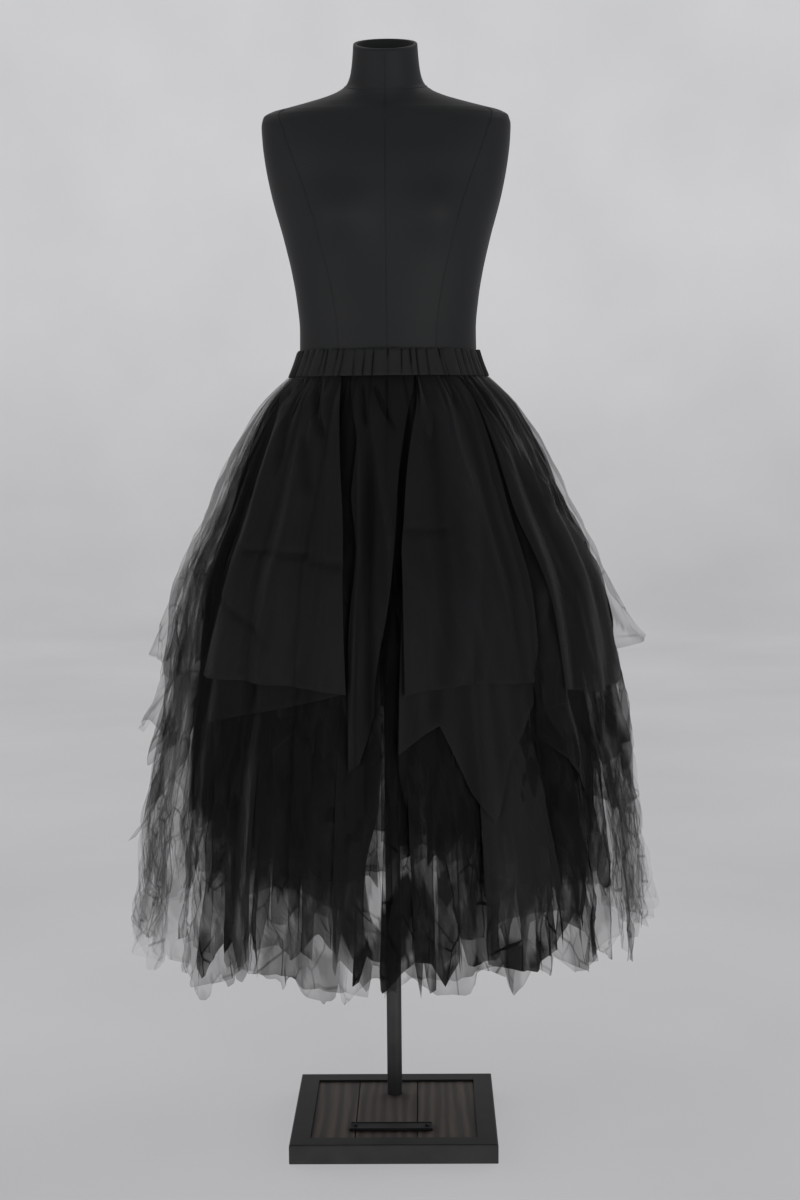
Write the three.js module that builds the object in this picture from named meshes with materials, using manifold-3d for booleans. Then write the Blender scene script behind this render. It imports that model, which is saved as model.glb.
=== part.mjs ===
// A black layered tulle skirt with an elastic waistband, worn on a limbless dress form that stands on a
// pole and a square base. Millimetres, +Z up. The front faces -Y, and the origin is on the floor, on the
// pole's axis. Angles are in degrees round that axis: 0 at the front, 90 at the viewer's right (+X).
import * as THREE from "three";
import { mergeVertices } from "three/addons/utils/BufferGeometryUtils.js";
import Module from "manifold-3d";

const wasm = await Module();
wasm.setup();

// Driving dimensions
const CLEARANCE = 0.3; // between pieces that touch or are sewn to each other
const BASE = { size: 290, height: 28, rim: 28, edge: 2, front: -212, centreX: 1.5 };
const PLANK = { thickness: 14, sunk: 3, gap: 1.5, shares: [0.266, 0.372, 0.362] };
const PLATE = { width: 118, depth: 26, thickness: 4, x: -3, y: -140 };
const RIVET = { radius: 3.2, reach: 51, head: 1.6 };
const POLE = { radius: 11, sides: 24 };
const WAISTBAND = { bottom: 1088, top: 1125, wall: 2, gathers: 44, gatherDepth: 1.6, stepsPerGather: 4 };
const CLOTH_WALL = 1.6; // measured level, so a steep stretch is still over 1 mm thick
const GRID = 3.75; // degrees between the columns of a cloth wall
const FLUTES = 24; // soft pipes that the gathers let fall, all round
const FLARE_RISE = 110; // a turned-out corner starts this far above its hem
const SLANT_END = 660; // a panel's side edges hang straight below this height
const NECK = { wall: 5.5, recess: 20 };
const FORM_SIDES = 32;
const BUST = { height: 1310, reach: 74, depth: 19, spreadX: 46, spreadZ: 40 };

// Rows with named columns from plain lists
function table(columns, rows) {
  const names = columns.split(" ");
  return rows.map((row) => Object.fromEntries(names.map((name, i) => [name, row[i] ?? 0])));
}

// A column's value part-way between the two rows on either side of a key's value
function lookUp(rows, key, at, column) {
  const sorted = [...rows].sort((p, q) => p[key] - q[key]);
  const after = sorted.findIndex((row) => row[key] >= at);
  if (after === 0) return sorted[0][column];
  if (after === -1) return sorted[sorted.length - 1][column];
  const [low, high] = [sorted[after - 1], sorted[after]];
  const share = (at - low[key]) / (high[key] - low[key]);
  return low[column] + share * (high[column] - low[column]);
}

// The skirt's outline at each level, how deep its flutes are there, and how far each layer lies inside it
const OUTLINE = table("height halfWidth halfDepth flute top middle long", [
  [1087.7, 146, 107, 0.3, 0, -2.2, -4.4],
  [1050, 184, 141, 2, 0, -6, -12],
  [990, 221, 177, 5, 0, -9, -18],
  [900, 262, 217, 7, 0, -10, -20],
  [790, 310, 267, 8, 0, -10, -20],
  [660, 334, 294, 10, 0, -9, -18],
  [480, 357, 318, 12, 8, 2, -7],
  [230, 372, 335, 14, 12, 9, 0],
]);
const SEAM = OUTLINE[0].height; // where every layer is sewn to the waistband

// Each panel's side edges at the waist seam, in degrees, and its hem: the angle, the height there, and how
// far a corner turns outwards. The side edges slant from the seam to the hem's ends
const hem = (rows) => table("angle height flare", rows);
const TOP_PANELS = {
  top_side_left: {
    waist: [-112.5, -64],
    hem: hem([[-112.5, 662], [-90, 692, 22], [-75, 664], [-56.25, 674]]),
  },
  top_front_left: { waist: [-64, -25], hem: hem([[-56.25, 678], [-37.5, 676], [-11.25, 668]]) },
  top_front_right: { waist: [14, 43], hem: hem([[3.75, 664], [18.75, 677], [41.25, 674]]) },
  top_side_right: { waist: [43, 86.25], hem: hem([[56.25, 664], [66.25, 648], [76.25, 652], [86.25, 690]]) },
  top_back_right: {
    waist: [86.25, 168.75],
    hem: hem([[86.25, 724, 46], [97.5, 690, 10], [120, 660], [142.5, 672], [168.75, 652]]),
  },
  top_back_left: {
    waist: [168.75, 247.5],
    hem: hem([[168.75, 676], [195, 656], [221.25, 670], [247.5, 660]]),
  },
};
const MIDDLE_PANELS = {
  middle_side_left: {
    waist: [-97.5, -60],
    hem: hem([[-97.5, 566, 42], [-86.25, 604, 10], [-75, 540], [-60, 590]]),
  },
  middle_front_left: { waist: [-60, -28], hem: hem([[-60, 604], [-37.5, 640], [-15, 662]]) },
  middle_centre: { waist: [-28, 17], hem: hem([[-15, 604], [-11.25, 572], [0, 640]]) },
  middle_front_right: {
    waist: [17, 42],
    hem: hem([[0, 593], [11.25, 632], [18.75, 524], [22.5, 498], [26.25, 560], [37.5, 640]]),
  },
  middle_side_right: { waist: [42, 90], hem: hem([[37.5, 604], [52.5, 520], [67.5, 470], [90, 545]]) },
  middle_back_right: {
    waist: [90, 176.25],
    hem: hem([[90, 566], [116.25, 484], [142.5, 580], [157.5, 512], [176.25, 590]]),
  },
  middle_back_left: {
    waist: [176.25, 262.5],
    hem: hem([[176.25, 540], [202.5, 600], [221.25, 505], [240, 560], [255, 432, 15], [262.5, 402, 36]]),
  },
};
const LONG_HEM = hem([
  [-180, 290], [-165, 272], [-150, 296], [-135, 280], [-120, 300], [-105, 276], [-97.5, 290, 8],
  [-90, 279, 10], [-78.75, 300], [-67.5, 264], [-60, 290], [-45, 247], [-33.75, 292], [-22.5, 288],
  [-11.25, 268], [-3.75, 296], [7.5, 288], [18.75, 296], [26.25, 284], [37.5, 296], [48.75, 288],
  [60, 306], [71.25, 300], [82.5, 318, 14], [90, 322, 14], [101.25, 290], [116.25, 280], [135, 300],
  [150, 278], [165, 295], [180, 290],
]);
const LONG_GORES = ["back_left", "side_left", "front_left", "front_right", "side_right", "back_right"];

// The dress form's rings: half-width, depth in front of and behind the pole, tilt of the ring, squareness
const FORM_RINGS = table("height halfWidth front back tilt power", [
  [842, 156, 84, 100, 0, 2.2],
  [850, 160, 87, 104, 0, 2.2],
  [880, 168, 92, 112, 0, 2.2],
  [930, 171, 96, 117, 0, 2.2],
  [990, 162, 96, 112, 0, 2.1],
  [1045, 147, 93, 101, 0, 2],
  [1088, 134, 91, 92, 0, 2],
  [1125, 126.4, 90, 90, 0, 2],
  [1155, 126, 90, 89, 0, 2],
  [1198, 129.8, 93, 91, 0, 2.1],
  [1241, 137, 98, 96, 0, 2.2],
  [1270, 143.6, 102, 100, 0, 2.3],
  [1292, 149, 105, 102, 0, 2.3],
  [1310, 154, 107, 104, 0, 2.3],
  [1330, 159.6, 107, 106, 0, 2.3],
  [1354, 165.4, 105, 107, 0, 2.3],
  [1389, 172, 99, 108, 0, 2.4],
  [1420, 175.8, 88, 106, 0, 2.5],
  [1444, 177, 77, 101, 0, 2.5],
  [1456, 174.6, 70, 96, 1, 2.4],
  [1463, 164, 65, 91, 2, 2.3],
  [1470, 140, 60, 84, 4, 2.2],
  [1478, 112, 56, 76, 7, 2.1],
  [1487, 82, 53, 66, 10, 2],
  [1494, 66, 51.5, 58, 12, 2],
  [1503, 55, 51, 51, 14, 2],
  [1520, 49.4, 51, 45, 16, 2],
  [1540, 47, 52, 41, 18, 2],
  [1560, 45.6, 53, 38, 20, 2],
]);

const materials = {
  tulle: new THREE.MeshStandardMaterial({ color: 0x17181a, roughness: 0.9, metalness: 0 }),
  casing: new THREE.MeshStandardMaterial({ color: 0x1a1b1d, roughness: 0.85, metalness: 0 }),
  formCover: new THREE.MeshStandardMaterial({ color: 0x1c1e20, roughness: 0.8, metalness: 0 }),
  paintedSteel: new THREE.MeshStandardMaterial({ color: 0x2f302e, roughness: 0.5, metalness: 0.6 }),
  wood: new THREE.MeshStandardMaterial({ color: 0x41352d, roughness: 0.75, metalness: 0 }),
  plateSteel: new THREE.MeshStandardMaterial({ color: 0x202225, roughness: 0.6, metalness: 0.6 }),
};

const part = new THREE.Group();

function add(name, geometry, material) {
  const mesh = new THREE.Mesh(geometry, material);
  mesh.name = name;
  part.add(mesh);
  return mesh;
}

// A cloth wall between two grids of points; a closed one runs all the way round
function wallGeometry(columns, rows, outer, inner, closed = false) {
  const points = [];
  const indices = [];
  const count = closed ? columns : columns + 1;
  const at = (side, i, j) => (side * (rows + 1) + j) * count + (i % count);
  for (const side of [outer, inner]) {
    for (let j = 0; j <= rows; j++) {
      for (let i = 0; i < count; i++) points.push(...side(i, j).toArray());
    }
  }
  const quad = (a, b, c, d) => indices.push(a, b, c, a, c, d);
  for (let i = 0; i < columns; i++) {
    for (let j = 0; j < rows; j++) {
      quad(at(0, i, j), at(0, i, j + 1), at(0, i + 1, j + 1), at(0, i + 1, j));
      indices.push(at(1, i, j), at(1, i + 1, j + 1), at(1, i, j + 1));
      indices.push(at(1, i, j), at(1, i + 1, j), at(1, i + 1, j + 1));
    }
    quad(at(0, i, 0), at(0, i + 1, 0), at(1, i + 1, 0), at(1, i, 0));
    quad(at(0, i, rows), at(1, i, rows), at(1, i + 1, rows), at(0, i + 1, rows));
  }
  for (let j = 0; j < rows && !closed; j++) {
    quad(at(0, 0, j), at(1, 0, j), at(1, 0, j + 1), at(0, 0, j + 1));
    quad(at(0, columns, j), at(0, columns, j + 1), at(1, columns, j + 1), at(1, columns, j));
  }
  const geometry = new THREE.BufferGeometry();
  geometry.setAttribute("position", new THREE.Float32BufferAttribute(points, 3));
  geometry.setIndex(indices);
  return geometry;
}

// A point on an ellipse round the pole, moved out along the ellipse's own normal
function ellipsePoint(degrees, height, halfWidth, halfDepth, out) {
  const angle = THREE.MathUtils.degToRad(degrees);
  const normal = new THREE.Vector3(Math.sin(angle) / halfWidth, -Math.cos(angle) / halfDepth, 0);
  return new THREE.Vector3(halfWidth * Math.sin(angle), -halfDepth * Math.cos(angle), height)
    .addScaledVector(normal.normalize(), out);
}

// How far the flutes push the cloth out or in, with every pipe a little different from the next
function flute(degrees, height) {
  const turns = (degrees / 360) * FLUTES;
  const strength = 0.7 + 0.3 * Math.sin(2.4 * Math.round(turns));
  return lookUp(OUTLINE, "height", height, "flute") * strength * Math.cos(2 * Math.PI * turns);
}

// One panel of a layer, from its edges at the waist seam to its hem
function panelGeometry(layer, { waist, hem: hemRows }) {
  const angles = hemRows.map((row) => row.angle);
  const [first, last] = [Math.min(...angles), Math.max(...angles)];
  const highest = Math.max(...hemRows.map((row) => row.height));
  const levels = OUTLINE.map((row) => row.height).filter((height) => height >= highest + 20);
  const columns = Math.round(Math.max(last - first, waist[1] - waist[0]) / GRID);
  const rows = levels.length;
  const { lerp, radToDeg } = THREE.MathUtils;
  const point = (i, j, inwards) => {
    const hemAngle = lerp(first, last, i / columns);
    const bottom = lookUp(hemRows, "angle", hemAngle, "height");
    const height = j < rows ? levels[j] : bottom;
    const slant = Math.min(1, (SEAM - height) / (SEAM - SLANT_END));
    const angle = lerp(lerp(waist[0], waist[1], i / columns), hemAngle, slant);
    const halfWidth = lookUp(OUTLINE, "height", height, "halfWidth");
    const halfDepth = lookUp(OUTLINE, "height", height, "halfDepth");
    const turned = Math.max(0, (bottom + FLARE_RISE - height) / FLARE_RISE) ** 2;
    const flare = lookUp(hemRows, "angle", hemAngle, "flare") * turned;
    const out = lookUp(OUTLINE, "height", height, layer) + flute(angle, height) + flare - inwards;
    const seamAllowance = radToDeg((0.6 * CLEARANCE) / halfDepth);
    const inset = i === 0 ? seamAllowance : i === columns ? -seamAllowance : 0;
    return ellipsePoint(angle + inset, height, halfWidth, halfDepth, out);
  };
  return wallGeometry(columns, rows, (i, j) => point(i, j, 0), (i, j) => point(i, j, CLOTH_WALL));
}

function addPanels(layer, panels) {
  for (const [name, panel] of Object.entries(panels)) {
    add(name, panelGeometry(layer, panel), materials.tulle);
  }
}

// A layer that runs all round, cut into equal gores that share one hem table
function addGores(layer, names, hemRows) {
  const span = 360 / names.length;
  names.forEach((name, k) => {
    const waist = [-180 + k * span, -180 + (k + 1) * span];
    const [from, to] = waist.map((angle) => ({
      angle,
      height: lookUp(hemRows, "angle", angle, "height"),
      flare: lookUp(hemRows, "angle", angle, "flare"),
    }));
    const inside = hemRows.filter((row) => row.angle > from.angle && row.angle < to.angle);
    add(`${layer}_${name}`, panelGeometry(layer, { waist, hem: [from, ...inside, to] }), materials.tulle);
  });
}

// The elastic casing: a cone with narrow gathers on its outside and a plain inside
function waistbandGeometry() {
  const columns = WAISTBAND.gathers * WAISTBAND.stepsPerGather;
  const seam = OUTLINE[0];
  const waist = FORM_RINGS.find((row) => row.height === WAISTBAND.top);
  const thickest = WAISTBAND.wall + 2 * WAISTBAND.gatherDepth;
  const ends = [
    { height: WAISTBAND.top, halfWidth: waist.halfWidth + 0.6, halfDepth: waist.front + 0.6 },
    { height: WAISTBAND.bottom, halfWidth: seam.halfWidth - thickest, halfDepth: seam.halfDepth - thickest },
  ];
  const point = (i, j, out) =>
    ellipsePoint((i / columns) * 360, ends[j].height, ends[j].halfWidth, ends[j].halfDepth, out);
  const gather = (i) => {
    const wave = 1 + Math.cos((2 * Math.PI * i) / WAISTBAND.stepsPerGather);
    const strength = 0.75 + 0.25 * Math.sin(1.7 * Math.floor(i / WAISTBAND.stepsPerGather));
    return WAISTBAND.wall + WAISTBAND.gatherDepth * wave * strength;
  };
  return wallGeometry(columns, 1, (i, j) => point(i, j, gather(i)), (i, j) => point(i, j, 0), true);
}

// A ring of the dress form; inset draws it in for the neck's wall, and drop lowers it into the recess
function formRing(row, inset = 0, drop = 0) {
  return Array.from({ length: FORM_SIDES }, (_, k) => {
    const angle = (2 * Math.PI * k) / FORM_SIDES;
    const [sine, cosine] = [Math.sin(angle), Math.cos(angle)];
    const squared = (value) => Math.sign(value) * Math.abs(value) ** (2 / row.power);
    const depth = (cosine > 0 ? row.front : row.back) - inset;
    const x = (row.halfWidth - inset) * squared(sine);
    const sideways = (Math.abs(x) - BUST.reach) / BUST.spreadX;
    const upwards = (row.height - BUST.height) / BUST.spreadZ;
    const bust = cosine > 0 ? BUST.depth * Math.exp(-(sideways ** 2) - upwards ** 2) * cosine ** 0.5 : 0;
    const y = -depth * squared(cosine) - bust;
    const lean = Math.tan(THREE.MathUtils.degToRad(row.tilt)) * y;
    return new THREE.Vector3(x, y, row.height + lean - drop);
  });
}

// The whole dress form, closed underneath, with a shallow recess in the top of its neck
function dressFormGeometry() {
  const top = FORM_RINGS[FORM_RINGS.length - 1];
  const rings = FORM_RINGS.map((row) => formRing(row));
  rings.push(formRing(top, NECK.wall), formRing(top, NECK.wall, NECK.recess));
  const points = rings.flat();
  const middle = (ring) => ring.reduce((sum, p) => sum.add(p), new THREE.Vector3()).divideScalar(ring.length);
  const [foot, recess] = [points.length, points.length + 1];
  points.push(middle(rings[0]), middle(rings[rings.length - 1]));
  const indices = [];
  const at = (ring, k) => ring * FORM_SIDES + (k % FORM_SIDES);
  for (let k = 0; k < FORM_SIDES; k++) {
    for (let ring = 0; ring + 1 < rings.length; ring++) {
      indices.push(at(ring, k), at(ring, k + 1), at(ring + 1, k + 1));
      indices.push(at(ring, k), at(ring + 1, k + 1), at(ring + 1, k));
    }
    indices.push(foot, at(0, k + 1), at(0, k));
    indices.push(recess, at(rings.length - 1, k), at(rings.length - 1, k + 1));
  }
  const geometry = new THREE.BufferGeometry().setFromPoints(points);
  geometry.setIndex(indices);
  return geometry;
}

function manifoldOf(geometry) {
  const bare = geometry.clone();
  bare.deleteAttribute("normal");
  bare.deleteAttribute("uv");
  const merged = mergeVertices(bare, 1e-3);
  return new wasm.Manifold(new wasm.Mesh({
    numProp: 3,
    vertProperties: merged.attributes.position.array,
    triVerts: new Uint32Array(merged.index.array),
  }));
}

function geometryOf(solid) {
  const mesh = solid.getMesh();
  const geometry = new THREE.BufferGeometry();
  geometry.setAttribute("position", new THREE.BufferAttribute(mesh.vertProperties, 3));
  geometry.setIndex(new THREE.BufferAttribute(mesh.triVerts, 1));
  return geometry;
}

function cut(geometry, tool) {
  return geometryOf(manifoldOf(geometry).subtract(manifoldOf(tool)));
}

function joined(...geometries) {
  return geometryOf(geometries.map(manifoldOf).reduce((whole, piece) => whole.add(piece)));
}

// A box from its lowest and highest corners
function box([x0, y0, z0], [x1, y1, z1]) {
  const geometry = new THREE.BoxGeometry(x1 - x0, y1 - y0, z1 - z0);
  return geometry.translate((x0 + x1) / 2, (y0 + y1) / 2, (z0 + z1) / 2);
}

function upright(radius, sides, x, y, bottom, top) {
  const geometry = new THREE.CylinderGeometry(radius, radius, top - bottom, sides);
  return geometry.rotateX(Math.PI / 2).translate(x, y, (bottom + top) / 2);
}

// The steel tray with its rim, three planks laid in it, and a bare plate riveted to them
function addBase() {
  const half = BASE.size / 2;
  const left = BASE.centreX - half;
  const well = { x: left + BASE.rim, y: BASE.front + BASE.rim, size: BASE.size - 2 * BASE.rim };
  const planksTop = BASE.height - PLANK.sunk;
  const floor = planksTop - PLANK.thickness;
  const square = new THREE.Shape();
  const inset = half - BASE.edge;
  square.moveTo(-inset, -inset).lineTo(inset, -inset).lineTo(inset, inset).lineTo(-inset, inset).closePath();
  const slab = new THREE.ExtrudeGeometry(square, {
    depth: BASE.height - 2 * BASE.edge,
    bevelSize: BASE.edge,
    bevelThickness: BASE.edge,
    bevelSegments: 2,
  }).translate(BASE.centreX, BASE.front + half, BASE.edge);
  const hollow = box([well.x, well.y, floor], [well.x + well.size, well.y + well.size, BASE.height + 1]);
  add("base_tray", cut(slab, hollow), materials.paintedSteel);

  const poleHole = upright(POLE.radius + CLEARANCE, POLE.sides, 0, 0, 0, BASE.height);
  let x = well.x + CLEARANCE;
  ["left", "middle", "right"].forEach((name, k) => {
    const width = PLANK.shares[k] * (well.size - 2 * CLEARANCE - 2 * PLANK.gap);
    const board = box(
      [x, well.y + CLEARANCE, floor + CLEARANCE],
      [x + width, well.y + well.size - CLEARANCE, planksTop],
    );
    add(`plank_${name}`, name === "middle" ? cut(board, poleHole) : board, materials.wood);
    x += width + PLANK.gap;
  });

  const plateFloor = planksTop + CLEARANCE;
  const plateTop = plateFloor + PLATE.thickness;
  const [reach, depth] = [PLATE.width / 2, PLATE.depth / 2];
  const bare = box(
    [PLATE.x - reach, PLATE.y - depth, plateFloor],
    [PLATE.x + reach, PLATE.y + depth, plateTop],
  );
  const rivets = [-1, 1].map((side) => {
    const x = PLATE.x + side * RIVET.reach;
    return upright(RIVET.radius, 12, x, PLATE.y, plateFloor + 1, plateTop + RIVET.head);
  });
  add("plate", joined(bare, ...rivets), materials.plateSteel);

  const poleTop = FORM_RINGS[0].height - CLEARANCE;
  add("pole", upright(POLE.radius, POLE.sides, 0, 0, floor + CLEARANCE, poleTop), materials.paintedSteel);
}

addBase();
add("dress_form", dressFormGeometry(), materials.formCover);
add("waistband", waistbandGeometry(), materials.casing);
addPanels("top", TOP_PANELS);
addPanels("middle", MIDDLE_PANELS);
addGores("long", LONG_GORES, LONG_HEM);

export default part;
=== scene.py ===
"""A black layered tulle skirt on a dress form with its pole and base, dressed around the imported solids.

Blender works in metres and the tables here are in millimetres. Angles run round the pole in degrees, 0 at
the front and 90 at the viewer's right, as the solids were laid out. The part has one body, root.
"""
import math

import bmesh
import bpy
import numpy as np
from mathutils import Matrix, Vector


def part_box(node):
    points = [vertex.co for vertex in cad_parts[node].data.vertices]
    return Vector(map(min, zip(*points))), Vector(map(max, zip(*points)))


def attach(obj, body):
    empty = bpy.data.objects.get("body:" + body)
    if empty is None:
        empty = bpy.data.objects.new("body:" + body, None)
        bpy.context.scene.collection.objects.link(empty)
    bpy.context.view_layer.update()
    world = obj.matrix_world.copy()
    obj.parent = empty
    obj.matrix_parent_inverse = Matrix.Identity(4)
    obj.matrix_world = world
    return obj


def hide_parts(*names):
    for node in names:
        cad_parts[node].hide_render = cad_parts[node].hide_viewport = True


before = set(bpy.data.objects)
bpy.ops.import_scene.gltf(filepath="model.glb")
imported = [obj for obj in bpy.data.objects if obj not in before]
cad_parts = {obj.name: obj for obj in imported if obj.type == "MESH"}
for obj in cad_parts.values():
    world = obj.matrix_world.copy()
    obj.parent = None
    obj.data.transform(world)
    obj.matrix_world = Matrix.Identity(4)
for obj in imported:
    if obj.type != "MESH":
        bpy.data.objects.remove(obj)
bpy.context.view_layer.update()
MM = 0.001

SEAM = 1087.7  # level of the waist seam
# The skirt's outline at each level, the depth of its flutes there, and how far each layer stands out from it
OUTLINE_COLUMNS = ("height", "half_width", "half_depth", "flute", "top", "middle", "long")
OUTLINE_ROWS = [
    (SEAM, 146, 107, 0.3, 0, -2.2, -4.4),
    (1050, 184, 141, 2, 0, -6, -12),
    (990, 221, 177, 5, 0, -9, -18),
    (900, 262, 217, 7, 0, -10, -20),
    (790, 310, 267, 8, 0, -10, -20),
    (660, 334, 294, 10, 0, -9, -18),
    (480, 357, 318, 12, 8, 2, -7),
    (230, 372, 335, 14, 12, 9, 0),
]
SLANT_END = 660  # level below which side edges hang straight down
FLARE_RISE = 110  # how far above the hem a corner starts to turn out
FLUTES = 24
HEM_RADIUS = 345
HEM_DEGREE = 5.9  # about a degree round the hem


def smooth(xs, ys):
    """A smooth curve through points, which never overshoots them."""
    xs, ys = np.asarray(xs, float), np.asarray(ys, float)
    order = np.argsort(xs)
    xs, ys = xs[order], ys[order]
    gap = np.diff(xs)
    slope = np.diff(ys) / gap
    product = slope[:-1] * slope[1:]
    total = np.where(product > 0, slope[:-1] + slope[1:], 1)
    tangent = np.concatenate([slope[:1], np.where(product > 0, 2 * product / total, 0), slope[-1:]])

    def at(x):
        x = np.clip(x, xs[0], xs[-1])
        i = np.clip(np.searchsorted(xs, x) - 1, 0, len(gap) - 1)
        t = (x - xs[i]) / gap[i]
        ends = ys[i] * (1 + 2 * t) * (1 - t) ** 2 + ys[i + 1] * t * t * (3 - 2 * t)
        return ends + gap[i] * (tangent[i] * t * (1 - t) ** 2 - tangent[i + 1] * t * t * (1 - t))

    return at


def columns_of(names, rows):
    """A smooth curve over height for each column of a table."""
    lists = dict(zip(names, zip(*rows)))
    return {name: smooth(lists["height"], lists[name]) for name in names if name != "height"}


def progress(value, start, end):
    """How far a value has come from start to end, from 0 to 1."""
    return np.clip((value - start) / (end - start), 0, 1)


outline = columns_of(OUTLINE_COLUMNS, OUTLINE_ROWS)


def around(turn, half_width, half_depth, push):
    """Points on an oval at angles in radians, pushed out along its normal."""
    normal = np.stack([np.sin(turn) / half_width, -np.cos(turn) / half_depth], -1)
    normal /= np.linalg.norm(normal, axis=-1, keepdims=True)
    return np.stack([half_width * np.sin(turn), -half_depth * np.cos(turn)], -1) + normal * push[..., None]


def grid_faces(columns, rows, closed=False):
    """Quads over a grid of points that runs along each row in turn."""
    across = columns if closed else columns + 1
    i, j = np.meshgrid(np.arange(columns), np.arange(rows))
    here = j * across + i
    right = j * across + (i + 1) % across
    return np.stack([here, here + across, right + across, right], -1).reshape(-1, 4)


def lathe(profile, sides):
    """Points and quads of a profile of radius and height, turned round the pole."""
    turn = np.radians(np.arange(sides) * 360 / sides)
    rings = [np.column_stack([r * np.cos(turn), r * np.sin(turn), np.full(sides, z)]) for r, z in profile]
    return np.concatenate(rings), grid_faces(sides, len(rings) - 1, closed=True)


def joined(*parts):
    """Several point and face lists as one."""
    points, faces, start = [], [], 0
    for some_points, some_faces in parts:
        points.append(some_points)
        faces.append(some_faces + start)
        start += len(some_points)
    return np.concatenate(points), np.concatenate(faces)


def add_object(name, mesh, material):
    mesh.materials.append(material)
    made = bpy.data.objects.new(name, mesh)
    bpy.context.collection.objects.link(made)
    return made


def make_mesh(name, points, faces, material, uv=None, **fields):
    """A smooth-shaded mesh object from points in millimetres and quads."""
    mesh = bpy.data.meshes.new(name)
    mesh.vertices.add(len(points))
    mesh.vertices.foreach_set("co", (np.asarray(points, float) * MM).ravel())
    mesh.loops.add(faces.size)
    mesh.loops.foreach_set("vertex_index", faces.ravel().astype(np.int32))
    mesh.polygons.add(len(faces))
    mesh.polygons.foreach_set("loop_start", np.arange(0, faces.size, 4, dtype=np.int32))
    mesh.update(calc_edges=True)
    mesh.polygons.foreach_set("use_smooth", np.ones(len(faces), bool))
    if uv is not None:
        layer = mesh.uv_layers.new(name="cloth")
        layer.data.foreach_set("uv", (np.asarray(uv)[faces.ravel()] * MM).ravel())
    for field, values in fields.items():
        attribute = mesh.attributes.new(field, "FLOAT", "POINT")
        attribute.data.foreach_set("value", np.asarray(values, np.float32))
    mesh.validate()
    return add_object(name, mesh, material)


def dress(piece, slot, *nodes):
    """Rides a piece on the part's one body, in place of the nodes that it stands for."""
    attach(piece, "root")
    if nodes:
        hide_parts(*nodes)


class Nodes:
    """A short way to write a node material with one Principled shader. Sockets have _ for a space."""

    def __init__(self, name, colour, roughness, **sockets):
        self.material = bpy.data.materials.new(name)
        self.material.use_nodes = True
        self.tree = self.material.node_tree
        self.shader = self.tree.nodes["Principled BSDF"]
        self.set(self.shader, Base_Color=(*colour, 1), Roughness=roughness, **sockets)

    def set(self, node, **sockets):
        for name, value in sockets.items():
            node.inputs[name.replace("_", " ")].default_value = value
        return node

    def add(self, kind, links=(), props=(), **sockets):
        node = self.tree.nodes.new(kind)
        for name, value in dict(props).items():
            setattr(node, name, value)
        for name, source in dict(links).items():
            self.tree.links.new(source, node.inputs[name])
        return self.set(node, **sockets)

    def link(self, source, name):
        self.tree.links.new(source, self.shader.inputs[name])

    def maths(self, operation, first, second, clamp=False):
        props = {"operation": operation, "use_clamp": clamp}
        return self.add("ShaderNodeMath", {0: first, 1: second}, props).outputs["Value"]

    def map_range(self, value, source, target):
        sockets = {"From_Min": source[0], "From_Max": source[1], "To_Min": target[0], "To_Max": target[1]}
        return self.add("ShaderNodeMapRange", {"Value": value}, **sockets).outputs["Result"]

    def mapping(self, place, **sockets):
        return self.add("ShaderNodeMapping", {"Vector": place}, **sockets).outputs["Vector"]

    def coordinates(self, scale):
        return self.mapping(self.add("ShaderNodeTexCoord").outputs["Object"], Scale=scale)

    def noise(self, scale, detail):
        links = {"Vector": self.coordinates(scale)}
        return self.add("ShaderNodeTexNoise", links, Scale=1.0, Detail=detail).outputs["Fac"]

    def attribute(self, name):
        return self.add("ShaderNodeAttribute", props={"attribute_name": name}).outputs["Fac"]

    def ramp(self, source, *stops):
        node = self.add("ShaderNodeValToRGB", {"Fac": source})
        while len(node.color_ramp.elements) < len(stops):
            node.color_ramp.elements.new(0.5)
        for element, (place, colour) in zip(node.color_ramp.elements, stops):
            element.position = place
            element.color = (*colour, 1)
        return node.outputs["Color"]

    def bump(self, height, strength, distance):
        node = self.add("ShaderNodeBump", {"Height": height}, Strength=strength, Distance=distance)
        self.link(node.outputs["Normal"], "Normal")


NET_FIELDS = ("cover", "creased", "tone")
BLACK = (0, 0, 0)
NET_COLOUR = (0.0078, 0.0079, 0.0085)
CASING_COLOUR = (0.0078, 0.008, 0.0086)
THREAD_TURN = 0.55  # how far the net's two sets of threads turn from its fall, in radians
CREASE_CELLS = (34, 11, 1)  # crease cells to a metre: narrow across the cloth, long down it


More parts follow.
